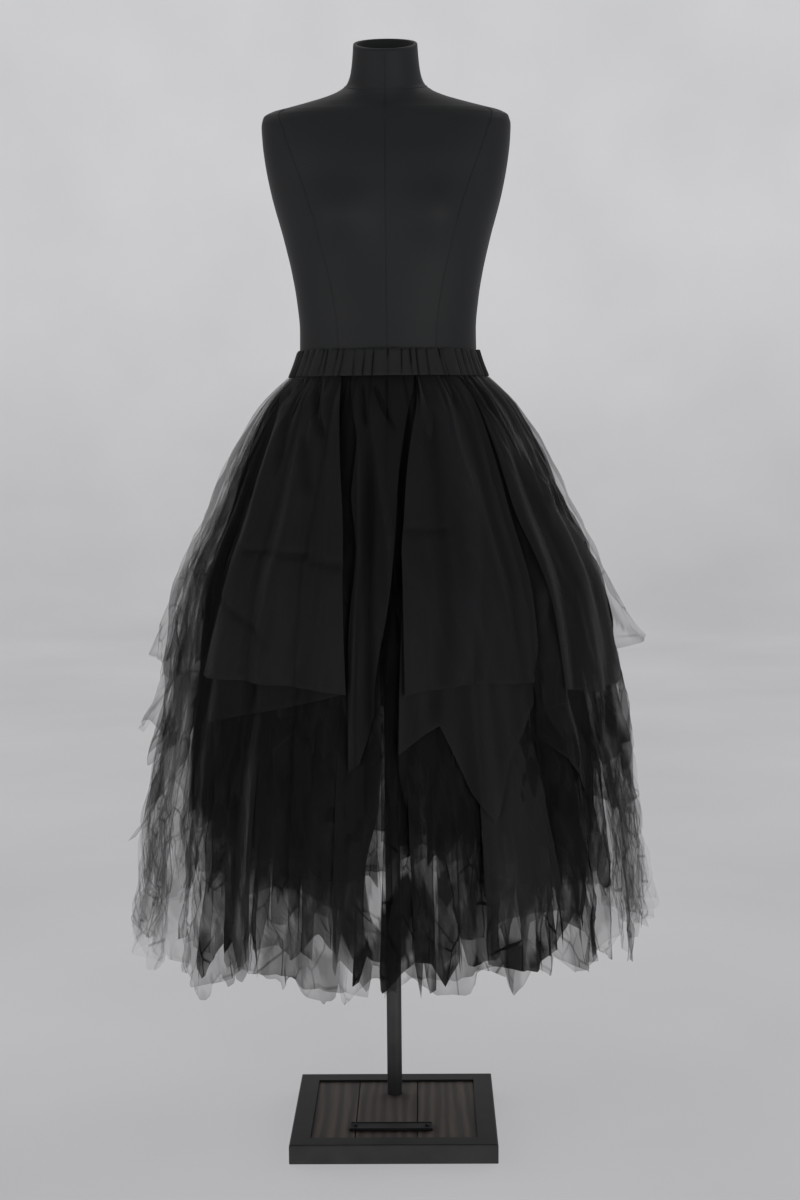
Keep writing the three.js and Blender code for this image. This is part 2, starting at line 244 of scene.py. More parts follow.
def tulle_material():
    """Black net: each ply brings its cover, its painted shade and light, and its creasing, and this adds
    threads and crease lines.
    """
    made = Nodes("tulle", NET_COLOUR, 0.6, Sheen_Weight=0.012, Sheen_Roughness=0.5, Specular_IOR_Level=0.025)
    cover, creased, tone = (made.attribute(name) for name in NET_FIELDS)
    place = made.add("ShaderNodeTexCoord").outputs["UV"]
    waves = []
    for turn in (THREAD_TURN, -THREAD_TURN):
        turned = {"Vector": made.mapping(place, Rotation=(0, 0, turn))}
        waves.append(made.add("ShaderNodeTexWave", turned, Scale=170.0, Detail=0.0).outputs["Fac"])
    threads = made.map_range(made.maths("MAXIMUM", *waves), (0.2, 1.0), (0.92, 1.05))
    stretched = {"Vector": made.mapping(place, Scale=CREASE_CELLS)}
    flat_cells = {"feature": "DISTANCE_TO_EDGE", "voronoi_dimensions": "2D"}
    cells = made.add("ShaderNodeTexVoronoi", stretched, flat_cells, Scale=1.0)
    lines = made.map_range(cells.outputs["Distance"], (0.0, 0.035), (1.0, 0.0))
    patches = made.add("ShaderNodeTexNoise", stretched, Scale=0.5, Detail=1.0)
    shown = made.map_range(patches.outputs["Fac"], (0.42, 0.62), (0.1, 1.0))
    creases = made.maths("MULTIPLY", made.maths("MULTIPLY", lines, creased), shown)
    net = made.maths("MULTIPLY", cover, threads)
    made.link(made.maths("ADD", net, creases, clamp=True), "Alpha")
    # The net's colour is darkened by each ply's painted shading: painted shade in grooves, troughs and under
    # the seam, painted highlight on ridges
    made.link(made.ramp(tone, (0.0, BLACK), (1.0, NET_COLOUR)), "Base Color")
    return made.material


def casing_material():
    """The waistband's plain weave, with painted shade in the grooves of its gathers."""
    made = Nodes("casing", CASING_COLOUR, 0.7, Sheen_Weight=0.03, Sheen_Roughness=0.5,
                 Specular_IOR_Level=0.08)
    made.link(made.ramp(made.attribute("tone"), (0.0, BLACK), (1.0, CASING_COLOUR)), "Base Color")
    made.bump(made.noise((900, 900, 500), 2.0), 0.35, 0.0006)
    return made.material


def form_material():
    """The dress form's knitted cover, faintly mottled."""
    dark, pale = (0.0074, 0.0079, 0.0085), (0.0088, 0.0093, 0.0100)
    made = Nodes("form_cover", dark, 0.5, Sheen_Weight=0.02, Sheen_Roughness=0.5, Specular_IOR_Level=0.1)
    made.link(made.ramp(made.noise((7, 7, 7), 4.0), (0.3, dark), (0.7, pale)), "Base Color")
    made.bump(made.noise((900, 900, 1300), 3.0), 0.3, 0.0005)
    return made.material


def steel_material(name, colour, worn, roughness, metallic):
    """Painted steel with paler worn patches."""
    made = Nodes(name, colour, roughness, Metallic=metallic, Specular_IOR_Level=0.25)
    made.link(made.ramp(made.noise((30, 30, 30), 8.0), (0.35, colour), (0.75, worn)), "Base Color")
    made.bump(made.noise((700, 700, 700), 2.0), 0.15, 0.0004)
    return made.material


def wood_material():
    """Dark planks with the grain along them."""
    dark, mid, pale = (0.012, 0.008, 0.006), (0.032, 0.021, 0.015), (0.062, 0.043, 0.032)
    made = Nodes("wood", mid, 0.7)
    place = {"Vector": made.coordinates((55, 5, 55))}
    warp = made.add("ShaderNodeTexNoise", place, Scale=0.6, Detail=5.0, Distortion=1.2)
    rings = made.add("ShaderNodeTexWave", place, Scale=0.35, Distortion=9.0, Detail=3.0)
    grain = made.maths("MULTIPLY", warp.outputs["Fac"], rings.outputs["Fac"])
    made.link(made.ramp(grain, (0.05, dark), (0.3, mid), (0.65, pale)), "Base Color")
    made.bump(grain, 0.35, 0.0008)
    return made.material


TULLE, CASING, FORM_COVER, WOOD = tulle_material(), casing_material(), form_material(), wood_material()
TRAY_STEEL = steel_material("painted_steel", (0.0045, 0.005, 0.0046), (0.009, 0.0095, 0.0088), 0.55, 0.1)
POLE_STEEL = steel_material("pole_steel", (0.015, 0.016, 0.015), (0.024, 0.025, 0.0235), 0.5, 0.35)
PLATE_STEEL = steel_material("plate_steel", (0.006, 0.0065, 0.0075), (0.013, 0.0135, 0.015), 0.55, 0.35)


# The dress form's rings, as the solid has them
FORM_COLUMNS = ("height", "half_width", "front", "back", "tilt", "power")
FORM_ROWS = [
    (842, 156, 84, 100, 0, 2.2),
    (850, 160, 87, 104, 0, 2.2),
    (880, 168, 92, 112, 0, 2.2),
    (930, 171, 96, 117, 0, 2.2),
    (990, 162, 96, 112, 0, 2.1),
    (1045, 147, 93, 101, 0, 2),
    (1088, 134, 91, 92, 0, 2),
    (1125, 126.4, 90, 90, 0, 2),
    (1155, 126, 90, 89, 0, 2),
    (1198, 129.8, 93, 91, 0, 2.1),
    (1241, 137, 98, 96, 0, 2.2),
    (1270, 143.6, 102, 100, 0, 2.3),
    (1292, 149, 105, 102, 0, 2.3),
    (1310, 154, 107, 104, 0, 2.3),
    (1330, 159.6, 107, 106, 0, 2.3),
    (1354, 165.4, 105, 107, 0, 2.3),
    (1389, 172, 99, 108, 0, 2.4),
    (1420, 175.8, 88, 106, 0, 2.5),
    (1444, 177, 77, 101, 0, 2.5),
    (1456, 174.6, 70, 96, 1, 2.4),
    (1463, 164, 65, 91, 2, 2.3),
    (1470, 140, 60, 84, 4, 2.2),
    (1478, 112, 56, 76, 7, 2.1),
    (1487, 82, 53, 66, 10, 2),
    (1494, 66, 51.5, 58, 12, 2),
    (1503, 55, 51, 51, 14, 2),
    (1520, 49.4, 51, 45, 16, 2),
    (1540, 47, 52, 41, 18, 2),
    (1560, 45.6, 53, 38, 20, 2),
]
BUST = {"height": 1310, "reach": 74, "depth": 19, "spread_x": 46, "spread_z": 40}
NECK_WALL, NECK_RECESS = 5.5, 20
# The neck's rounded rim and the recess in it: how far each ring is drawn in and lowered
NECK_RIM = [
    (0.6, -1.4), (1.8, -2.2), (NECK_WALL - 1.8, -2.2), (NECK_WALL - 0.6, -1.4),
    (NECK_WALL, 0), (NECK_WALL, NECK_RECESS),
]
# Rings of the cover, closest over the shoulders: lowest, highest and how many
FORM_RINGS = [(842, 1440, 90), (1444, 1500, 40), (1504, 1558, 16)]
FORM_SIDES = 96
form_curve = columns_of(FORM_COLUMNS, FORM_ROWS)


def form_points(degrees, height, inset=0.0, drop=0.0):
    """Points on the dress form; inset draws them in and drop lowers them."""
    degrees, height = np.broadcast_arrays(np.asarray(degrees, float), np.asarray(height, float))
    angle = np.radians(degrees)
    sine, cosine = np.sin(angle), np.cos(angle)
    power = 2 / form_curve["power"](height)
    depth = np.where(cosine > 0, form_curve["front"](height), form_curve["back"](height)) - inset
    x = (form_curve["half_width"](height) - inset) * np.sign(sine) * np.abs(sine) ** power
    sideways = (np.abs(x) - BUST["reach"]) / BUST["spread_x"]
    upwards = (height - BUST["height"]) / BUST["spread_z"]
    swell = BUST["depth"] * np.exp(-(sideways**2) - upwards**2) * np.sqrt(np.clip(cosine, 0, 1))
    y = -depth * np.sign(cosine) * np.abs(cosine) ** power - swell
    lean = np.tan(np.radians(form_curve["tilt"](height))) * y
    return np.stack([x, y, height + lean - drop], -1)


def shrunk(ring, *shares):
    """Copies of a ring, drawn in towards its middle."""
    middle = ring.mean(0)
    return [middle + (ring - middle) * share for share in shares]


def make_form():
    heights = np.concatenate([np.linspace(*rings) for rings in FORM_RINGS])
    degrees = np.arange(FORM_SIDES) * 360 / FORM_SIDES
    bands = [form_points(degrees, z) for z in heights]
    bands += [form_points(degrees, heights[-1], inset, drop) for inset, drop in NECK_RIM]
    bands = [*shrunk(bands[0], 0.02, 0.3, 0.7, 0.97), *bands, *shrunk(bands[-1], 0.6, 0.12, 0.0024)]
    faces = grid_faces(FORM_SIDES, len(bands) - 1, closed=True)[:, ::-1]
    cover = make_mesh("dress_form_cover", np.concatenate(bands), faces, FORM_COVER)
    dress(cover, "form_cover", "dress_form")


def tube(path, radius, sides):
    """A tube along a line of points, in millimetres."""
    ahead = np.gradient(path, axis=0)
    ahead /= np.linalg.norm(ahead, axis=1, keepdims=True)
    side = np.cross(ahead, (0.31, 0.22, 0.93))
    side /= np.linalg.norm(side, axis=1, keepdims=True)
    over = np.cross(ahead, side)
    turn = np.radians(np.arange(sides) * 360 / sides)[None, :, None]
    rings = path[:, None] + radius * (side[:, None] * np.cos(turn) + over[:, None] * np.sin(turn))
    return rings.reshape(-1, 3), grid_faces(sides, len(path) - 1, closed=True)


# Seams of the form's cover: the level where they start, where each kind ends, and their radius
FORM_SEAMS = {"start": 1126, "centre": 1552, "princess": 1464, "side": 1450, "neck": 1499, "radius": 0.7}
# The princess lines of the front: level and angle. Those of the back lie a little closer to its middle
PRINCESS_LINE = [(1126, 33), (1220, 35), (1300, 38), (1380, 44), (1440, 52), (1466, 60)]
BACK_PRINCESS = 0.9


def make_form_seams():
    """The cover's seams: centre front and back, princess lines, side seams and the ring round the neck."""
    princess = smooth(*zip(*PRINCESS_LINE))
    start = FORM_SEAMS["start"]
    centre = np.linspace(start, FORM_SEAMS["centre"], 140)
    shoulder = np.linspace(start, FORM_SEAMS["princess"], 110)
    lines = [form_points(0, centre), form_points(180, centre)]
    for side in (-1, 1):
        lines.append(form_points(side * princess(shoulder), shoulder))
        lines.append(form_points(180 - side * princess(shoulder) * BACK_PRINCESS, shoulder))
        lines.append(form_points(side * 90, np.linspace(start, FORM_SEAMS["side"], 100)))
    lines.append(form_points(np.linspace(0, 360, 97), FORM_SEAMS["neck"]))
    points, faces = joined(*[tube(line, FORM_SEAMS["radius"], 6) for line in lines])
    dress(make_mesh("form_seams", points, faces, FORM_COVER), "form_cover")


# Waistband: an elastic casing whose puffs are as uneven as hand-pulled gathers
WAIST = {"bottom": 1088, "top": 1125, "wall": 2.0, "gathers": 56, "depth": 5.5, "groove": 1.2}
WAIST_OVAL = {"half_width": (140.8, 127.0), "half_depth": (101.8, 90.6)}  # at its bottom and its top
WAIST_DEGREE = 2.2  # about a degree round the waist
WAIST_COLUMNS = 14  # columns of points to a gather
# The casing's section, from the inside round the outside and back: share of its height, and of its thickness
WAIST_SECTION = [
    (0, 0.0), (0, 0.7), (0.03, 0.95),
    *[(t, 1.0 - 0.12 * math.sin(math.pi * t)) for t in np.linspace(0.1, 0.9, 11)],
    (0.97, 0.95), (1.0, 0.7), (1.0, 0.0), (0.66, 0.0), (0.33, 0.0),
]


def make_waistband():
    rng = np.random.default_rng(7)
    count = WAIST["gathers"]
    edges = (np.arange(count) + rng.uniform(-0.42, 0.42, count)) * 360 / count
    edges = np.append(edges, edges[0] + 360)
    strength = rng.uniform(0.4, 1.15, count)
    flat_at = rng.uniform(0, 2, count)
    skew = rng.uniform(-1.2, 1.2, count + 1)
    skew[-1] = skew[0]

    which = np.repeat(np.arange(count), WAIST_COLUMNS)
    share = np.tile(np.arange(WAIST_COLUMNS) / WAIST_COLUMNS, count)
    width = np.diff(edges)[which]
    degrees = edges[which] + share * width
    lean = skew[which] + share * np.diff(skew)[which]
    strength, flat_at = strength[which], flat_at[which]
    puff = np.sin(np.pi * share) ** 0.5 * strength
    from_edge = np.minimum(share, 1 - share) * width * WAIST_DEGREE
    groove = np.exp(-((from_edge / WAIST["groove"]) ** 2)) * np.clip(strength, 0, 1)

    bands, painted_shades = [], []
    for t, out in WAIST_SECTION:
        half_width, half_depth = (low + t * (high - low) for low, high in WAIST_OVAL.values())
        turn = np.radians(degrees + lean * (t - 0.5))
        smoothed = np.clip(np.cos(np.pi * (t - flat_at)), 0, 0.6)
        arch = puff * (1 - smoothed) + 0.75 * strength * smoothed
        push = out * (WAIST["wall"] * 0.5 + WAIST["depth"] * arch)
        frill = out * (t > 0.9) * 1.8 * (puff - 0.4)
        z = WAIST["bottom"] + t * (WAIST["top"] - WAIST["bottom"]) + frill
        bands.append(np.column_stack([around(turn, half_width, half_depth, push), z]))
        # Painted shade in the grooves between the puffs
        painted_shades.append(1 - 0.8 * groove * (1 - smoothed))
    bands.append(bands[0])
    painted_shades.append(painted_shades[0])
    faces = grid_faces(count * WAIST_COLUMNS, len(bands) - 1, closed=True)
    casing = make_mesh("waistband_casing", np.concatenate(bands), faces, CASING, tone=np.concatenate(painted_shades))
    dress(casing, "casing", "waistband")


def drift(s, t, rng, scale, waves=5):
    """A slow uneven field over the cloth, mostly from -1 to 1."""
    total = np.zeros(np.broadcast(s, t).shape)
    for _ in range(waves):
        turn = rng.uniform(0, 2 * np.pi)
        rate = 2 * np.pi / (scale * rng.uniform(0.7, 1.6))
        total += np.sin(rate * (s * np.cos(turn) + t * np.sin(turn)) + rng.uniform(0, 2 * np.pi))
    return total / (0.7 * waves)


# Facets of crushed net: length in widths, how far they stray, how much their thickness varies, and height
FACET = {"stretch": 3.0, "stray": 0.48, "thick": 0.4, "height": 1.6}


def crumple(s, t, rng, size):
    """Crushed net: flat facets between sharp ridges and troughs, drawn out down the fall of the cloth.

    Gives the height and how many thicknesses each facet seems to have, round 1."""
    height = np.zeros(s.shape)
    facet = np.ones(s.shape)
    wide, tall = size, size * FACET["stretch"]
    columns = int(np.ptp(s) / wide) + 3
    rows = int(np.ptp(t) / tall) + 3
    i, j = np.meshgrid(np.arange(columns), np.arange(rows))
    for sign in (1, -1):
        x, y = (rng.uniform(-FACET["stray"], FACET["stray"], i.shape) for _ in range(2))
        x = s.min() + (i + x - 1 + 0.5 * (j % 2)) * wide
        y = t.min() + (j + y - 1) * tall
        extras = rng.uniform(-FACET["thick"], FACET["thick"], i.shape)
        nearest = np.full(s.shape, np.inf)
        thick = np.zeros(s.shape)
        for centre_x, centre_y, extra in zip(x.ravel(), y.ravel(), extras.ravel()):
            away = np.hypot((s - centre_x) / wide, (t - centre_y) / tall)
            thick = np.where(away < nearest, extra, thick)
            nearest = np.minimum(nearest, away)
        height += sign * nearest
        facet += thick
    return height * FACET["height"], facet


def flute(angle, z):
    """The soft pipes that fall from the gathers, every one a little different."""
    turns = angle / 360 * FLUTES
    strength = 0.7 + 0.3 * np.sin(2.4 * np.round(turns))
    return outline["flute"](z) * strength * np.cos(2 * np.pi * turns)


def ragged(angles, rng, tooth, depth):
    """A torn-looking hem: uneven points along an edge, in millimetres below or above it."""
    reach = np.ptp(angles)
    count = max(3, int(reach * HEM_DEGREE / tooth))
    places = angles.min() + np.sort(rng.uniform(0, reach, count))
    places = np.concatenate([[angles.min()], places, [angles.max()]])
    return np.interp(angles, places, rng.uniform(-1, 1, len(places)) * depth)


# How a ply hangs. Depths are measured down from the seam, levels up from the floor
TAUT_TO = 300  # depth down to which the seam holds crushed facets back
SLACK_FROM = 720  # depth from which they are at their deepest
STAND_OUT = (600, 450)  # levels between which a drape comes out from its layer
SET_IN = (40, 625)  # depths between which an inner drape draws in from its layer
NET_INSIDE = 0.8  # how far net lies inside its layer's face
ROW_CROWDING = 0.9  # draws rows of points together towards the hem
SELVEDGE = 1.8  # width of a turned side edge
HEM_LINE = 3.5  # height of the denser line along a hem

# Gathers under the band: how many puffs and longer folds, their depth, and how wide the grooves are
GATHERS = {"puffs": 46, "folds": 13, "depth": 4.5, "groove": 0.22}
# Depths over which they start, and over which puffs, grooves and folds are lost
GATHERS_END = {"start": 12, "puffs": 65, "grooves": 55, "folds": 230}

# Painted shading of a ply: painted shade in grooves and under the seam down to a depth,
# painted highlight on the listed ridges and painted shade in the listed troughs
GROOVE_SHADE, SEAM_SHADE, SEAM_SHADE_END = 0.6, 0.5, 14
RIDGE_SHADE, TROUGH_SHADE = 0.15, -0.3
LIGHTEST = 1.25

# How dense a ply is: level where it is thinnest, how uneven, thinner corners, and what a faded hem keeps
THIN_LEVEL, COVER_DRIFT = 300, 0.15
CORNER_THIN, CORNER_FULL = 0.6, 30
FADED = 0.55

# A panel's cut: radius of its hem, fullness, radius of the waist, and spare length
CUT = {"hem_radius": 350, "fullness": 1.1, "waist_radius": 135, "length": 1.03}


def hem_columns(rows):
    """A hem's angles, heights and corners, where rows may leave out the corner."""
    return (np.array(column, float) for column in zip(*[(*row, 0)[:3] for row in rows]))


class Ply:
    """One thickness of net in a panel: a grid of points from the waist seam to its hem.

    waist has its side edges at the seam, hem its angles, heights and corners, and edges, if any, the side
    edges as rows of height and angle. thins is the loss of cover low down, step the grid's width and height,
    teeth the length and depth of torn points, crush the facets' width and their depth above and below, and
    lines the strength of creases. out moves it off its layer, inset draws it in, fade is the height of a
    thinning hem, and rim and turned make its edges denser.
    """

    def __init__(self, layer, waist, hem, seed, *, cover, step, teeth, crush, lines, tone, out=0.0, inset=0.0,
                 folds=(), edges=None, thins=0.0, fade=0, rim=0.1, turned=0.0):
        rng = np.random.default_rng(seed)
        self.angles, self.heights, corners = hem_columns(hem)
        self.lay_grid(waist, step, teeth, edges, turned, rng)
        corner = np.interp(self.hem_angle, self.angles, corners)
        push = outline[layer](self.z) - NET_INSIDE + out * progress(self.z, *STAND_OUT)
        push = push + flute(self.angle, self.z) + corner * progress(self.above_hem, FLARE_RISE, 0) ** 2
        push = push - inset * progress(self.t, *SET_IN)

        size, upper, lower = crush
        crushed, facet = crumple(self.s, self.t, rng, size)
        depth = (upper + (lower - upper) * progress(self.t, 0, SLACK_FROM) ** 3) * self.fall
        gathered, groove = self.gathers(rng)
        push = push + depth * crushed + gathered
        # Painted shade in the gathers' grooves and just under the band, painted highlight on ridges and
        # painted shade in troughs of the listed folds
        shade = tone * (1 - GROOVE_SHADE * groove)
        shade = shade * (1 - SEAM_SHADE + SEAM_SHADE * progress(self.t, 0, SEAM_SHADE_END))
        for *line, height, width in folds:
            fold = self.hand_fold(*line, width)
            push = push + height * fold
            shade = shade * (1 + (RIDGE_SHADE if height > 0 else TROUGH_SHADE) * fold)
        flat = around(np.radians(self.angle), self.half_width, outline["half_depth"](self.z), push)
        self.points = np.concatenate([flat, self.z[..., None]], -1).reshape(-1, 3)
        self.tone = np.clip(shade / LIGHTEST, 0, 1).ravel()

        body = cover * (1 - thins * self.down**2) * (1 - CORNER_THIN * progress(corner, 0, CORNER_FULL))
        if lines:
            body = body * (1 + (facet - 1) * self.fall)
        if fade:
            body = body * (FADED + (1 - FADED) * progress(self.above_hem, 0, fade))
        self.cover = self.density(body, rim, turned, rng).ravel()
        self.creased = (lines * self.fall).ravel()
        self.uv = np.column_stack([field.ravel() + rng.uniform(0, 5000) for field in (self.across, self.t)])
        self.cut = self.cut_size(waist)

    def lay_grid(self, waist, step, teeth, edges, turned, rng):
        """Spreads the points between the side edges, from the seam down to the torn hem."""
        degrees = max(np.ptp(self.angles), abs(waist[1] - waist[0]))
        self.reach = np.radians(degrees) * HEM_RADIUS
        columns = max(4, int(self.reach / step[0]))
        rows = max(8, int((SEAM - self.heights.min()) / step[1]))
        places = np.linspace(0, 1, columns + 1)
        if turned:
            columns += 2
            near = SELVEDGE / self.reach
            places = np.concatenate([[0, near], places[1:-1], [1 - near, 1]])
        self.faces = grid_faces(columns, rows)
        self.u, v = np.meshgrid(places, np.linspace(0, 1, rows + 1))
        self.hem_angle = self.angles[0] + self.u * (self.angles[-1] - self.angles[0])
        bottom = np.interp(self.hem_angle, self.angles, self.heights) + ragged(self.hem_angle, rng, *teeth)
        self.z = SEAM + (bottom - SEAM) * v**ROW_CROWDING
        self.t = SEAM - self.z
        self.above_hem = self.z - bottom
        slant = progress(self.z, SEAM, SLANT_END)
        left = waist[0] * (1 - slant) + self.angles[0] * slant
        right = waist[1] * (1 - slant) + self.angles[-1] * slant
        if edges:
            left, right = (smooth(*zip(*edge))(self.z) for edge in edges)
        self.angle = left + self.u * (right - left)
        self.half_width = outline["half_width"](self.z)
        self.s = np.radians(self.angle) * self.half_width
        self.across = np.radians(self.hem_angle) * HEM_RADIUS
        self.fall = progress(self.t, 0, TAUT_TO)
        self.down = progress(self.z, SEAM, THIN_LEVEL)

    def gathers(self, rng):
        """Puffs with narrow grooves under the band, and fewer, longer folds that fan out below them.

        Gives the push and how deep in a groove each point is, from 0 to 1."""
        turn = np.radians(self.angle)
        wander = drift(self.across, self.t * 0.2, rng, 90)
        wave = np.abs(np.sin(turn * GATHERS["puffs"] / 2 + 2.2 * wander + rng.uniform(0, 3)))
        uneven = np.clip(1 + 0.7 * drift(self.across, 0 * self.t, rng, 80), 0.3, 1.8)
        long = np.sin(turn * GATHERS["folds"] + 2.4 * wander + rng.uniform(0, 6))
        long = long * np.exp(-((self.t / GATHERS_END["folds"]) ** 2))
        short = (wave**0.7 - 0.7) * np.exp(-self.t / GATHERS_END["puffs"])
        groove = np.exp(-((wave / GATHERS["groove"]) ** 2)) * np.exp(-self.t / GATHERS_END["grooves"])
        start = 1 - np.exp(-self.t / GATHERS_END["start"])
        push = GATHERS["depth"] * start * uneven * (1.4 * short + 0.5 * long)
        return push, groove * np.clip(uneven, 0, 1)

    def hand_fold(self, from_angle, from_z, to_angle, to_z, width):
        """A trough or ridge along a line on the cloth: 1 in its middle, 0 away from it."""
        if abs(from_z - to_z) > 15:
            along = np.clip((from_z - self.z) / (from_z - to_z), -0.5, 1.5)
            away = self.s - np.radians(from_angle + along * (to_angle - from_angle)) * self.half_width
        else:
            along = (np.degrees(self.s / self.half_width) - from_angle) / (to_angle - from_angle)
            away = self.z - (from_z + along * (to_z - from_z))
        taper = progress(np.minimum(along, 1 - along), -0.12, 0.12)
        return np.exp(-((away / width) ** 2)) * taper

    def density(self, body, rim, turned, rng):
        """How much light a ply stops: more where it is drawn in, along its hem and at turned edges."""
        body = body * (1 + COVER_DRIFT * drift(self.across * 2.2, self.t * 0.35, rng, 60))
        closer = np.clip(0.6 * HEM_RADIUS / self.half_width + 0.4, 1, 2)
        dense = 1 - (1 - np.clip(body, 0.02, 0.97)) ** closer
        dense = dense + rim * np.exp(-((self.above_hem / HEM_LINE) ** 2))
        from_side = np.minimum(self.u, 1 - self.u) * self.reach
        return np.clip(dense + turned * progress(from_side, SELVEDGE, 0) * self.fall, 0, 0.98)

    def cut_size(self, waist):
        """Width, length and area of the flat piece, in metres."""
        length = (SEAM - self.heights.min()) * CUT["length"]
        hem_width = np.radians(np.ptp(self.angles)) * CUT["hem_radius"] * CUT["fullness"]
        waist_width = np.radians(abs(waist[1] - waist[0])) * CUT["waist_radius"]
        area = (hem_width + waist_width) / 2 * length
        return max(hem_width, waist_width) * MM, length * MM, area * MM * MM


def make_panel(node, plies):
    """All the plies of one panel as one piece."""
    points, faces = joined(*[(ply.points, ply.faces) for ply in plies])
    fields = {name: np.concatenate([getattr(ply, name) for ply in plies]) for name in NET_FIELDS}
    uv = np.concatenate([ply.uv for ply in plies])
    panel = make_mesh(node + "_net", points, faces, TULLE, uv, **fields)
    dress(panel, "tulle", node)
    widths, lengths, areas = zip(*[ply.cut for ply in plies])
    flat = (sum(widths), max(lengths))
    area = min(sum(areas), flat[0] * flat[1])


# Panels: side edges at the waist, hem (angle, height and how far a corner turns out), cover
TOP_PANELS = {
    "top_side_left": ((-112.5, -64), [(-112.5, 662), (-90, 692, 22), (-75, 664), (-56.25, 674)], 0.24),
    "top_front_left": ((-64, -25), [(-56.25, 678), (-37.5, 676), (-11.25, 668)], 0.93),
    "top_front_right": ((14, 43), [(3.75, 664), (18.75, 677), (41.25, 674)], 0.93),
    "top_side_right": ((43, 86.25), [(56.25, 664), (66.25, 648), (76.25, 652), (86.25, 690)], 0.74),
    "top_back_right": (
        (86.25, 168.75), [(86.25, 724, 46), (97.5, 690, 10), (120, 660), (142.5, 672), (168.75, 652)], 0.72,
    ),
    "top_back_left": ((168.75, 247.5), [(168.75, 676), (195, 656), (221.25, 670), (247.5, 660)], 0.72),
}
MIDDLE_PANELS = {
    "middle_side_left": ((-97.5, -60), [(-97.5, 566, 42), (-86.25, 604, 10), (-75, 540), (-60, 590)], 0.25),
    "middle_front_left": ((-60, -28), [(-47, 619), (-30, 641), (-9.8, 664)], 0.82),
    "middle_centre": ((-28, 17), [(-9, 566), (-6.5, 575), (-2.6, 640)], 0.9),
    "middle_front_right": (
        (17, 42), [(2.4, 588), (11.8, 626), (18, 541), (23.8, 494), (28, 575), (38, 650)], 0.82,
    ),
    "middle_side_right": ((42, 90), [(37.5, 604), (52.5, 520), (67.5, 470), (90, 545)], 0.6),
    "middle_back_right": (
        (90, 176.25), [(90, 566), (116.25, 484), (142.5, 580), (157.5, 512), (176.25, 590)], 0.74,
    ),
    "middle_back_left": (
        (176.25, 262.5),
        [(176.25, 540), (202.5, 600), (221.25, 505), (240, 560), (255, 432, 15), (262.5, 402, 36)], 0.7,
    ),
}
LONG_HEM = [
    (-180, 290), (-165, 272), (-150, 296), (-135, 280), (-120, 300), (-105, 276), (-97.5, 290, 8),
    (-90, 279, 10), (-78.75, 300), (-67.5, 264), (-60, 290), (-45, 247), (-33.75, 292), (-22.5, 288),
    (-11.25, 268), (-3.75, 296), (7.5, 288), (18.75, 296), (26.25, 284), (37.5, 296), (48.75, 288),
    (60, 306), (71.25, 300), (82.5, 318, 14), (90, 322, 14), (101.25, 290), (116.25, 280), (135, 300),
    (150, 278), (165, 295), (180, 290),
]
LONG_GORES = ("back_left", "side_left", "front_left", "front_right", "side_right", "back_right")

# Folds laid on a panel: angle and height at both ends, depth (a ridge above 0) and width
HAND_FOLDS = {
    "top_front_left": [
        (-46, 850, -21, 845, -4, 5), (-21, 836, -11, 833, -4, 5), (-37.5, 1080, -25, 1006, -8, 6),
        (-31, 1003, -26, 932, -5, 8), (-46, 1080, -40, 960, -5, 8), (-52, 800, -30, 730, -2.5, 9),
    ],
    "middle_centre": [
        (-5.5, 1068, 3, 1015, -8, 4), (-12, 1074, -8, 1020, -6, 4), (-6.5, 1050, 0.5, 877, 11, 8),
        (0.5, 880, 1, 780, 9, 7), (-10, 1000, -7.5, 844, 7, 5), (-7.5, 850, -8.5, 600, 7, 5),
        (-5, 980, -4.5, 600, -7, 7),
    ],
    "top_front_right": [
        (5.2, 878, 18.8, 878, -3, 4), (17, 1070, 14, 690, -6, 12), (22.5, 1060, 26, 931, 8, 11),
        (26, 935, 19.2, 680, 8, 11), (32, 1060, 33, 690, -5, 10),
    ],
    "top_side_right": [(44, 1040, 62, 915, 8, 12), (62, 900, 66, 690, 6, 14)],
    "middle_front_right": [(23, 760, 23.8, 500, 9, 12), (12, 760, 11, 640, -6, 10)],
    "middle_front_left": [(-36, 800, -34, 640, -6, 12)],
}

# Panels painted darker or lighter than the rest: painted shade below 1, painted light above it
PANEL_SHADING = {
    "middle_front_left": 0.65, "middle_centre": 0.8, "middle_front_right": 1.05, "middle_side_right": 0.8,
}

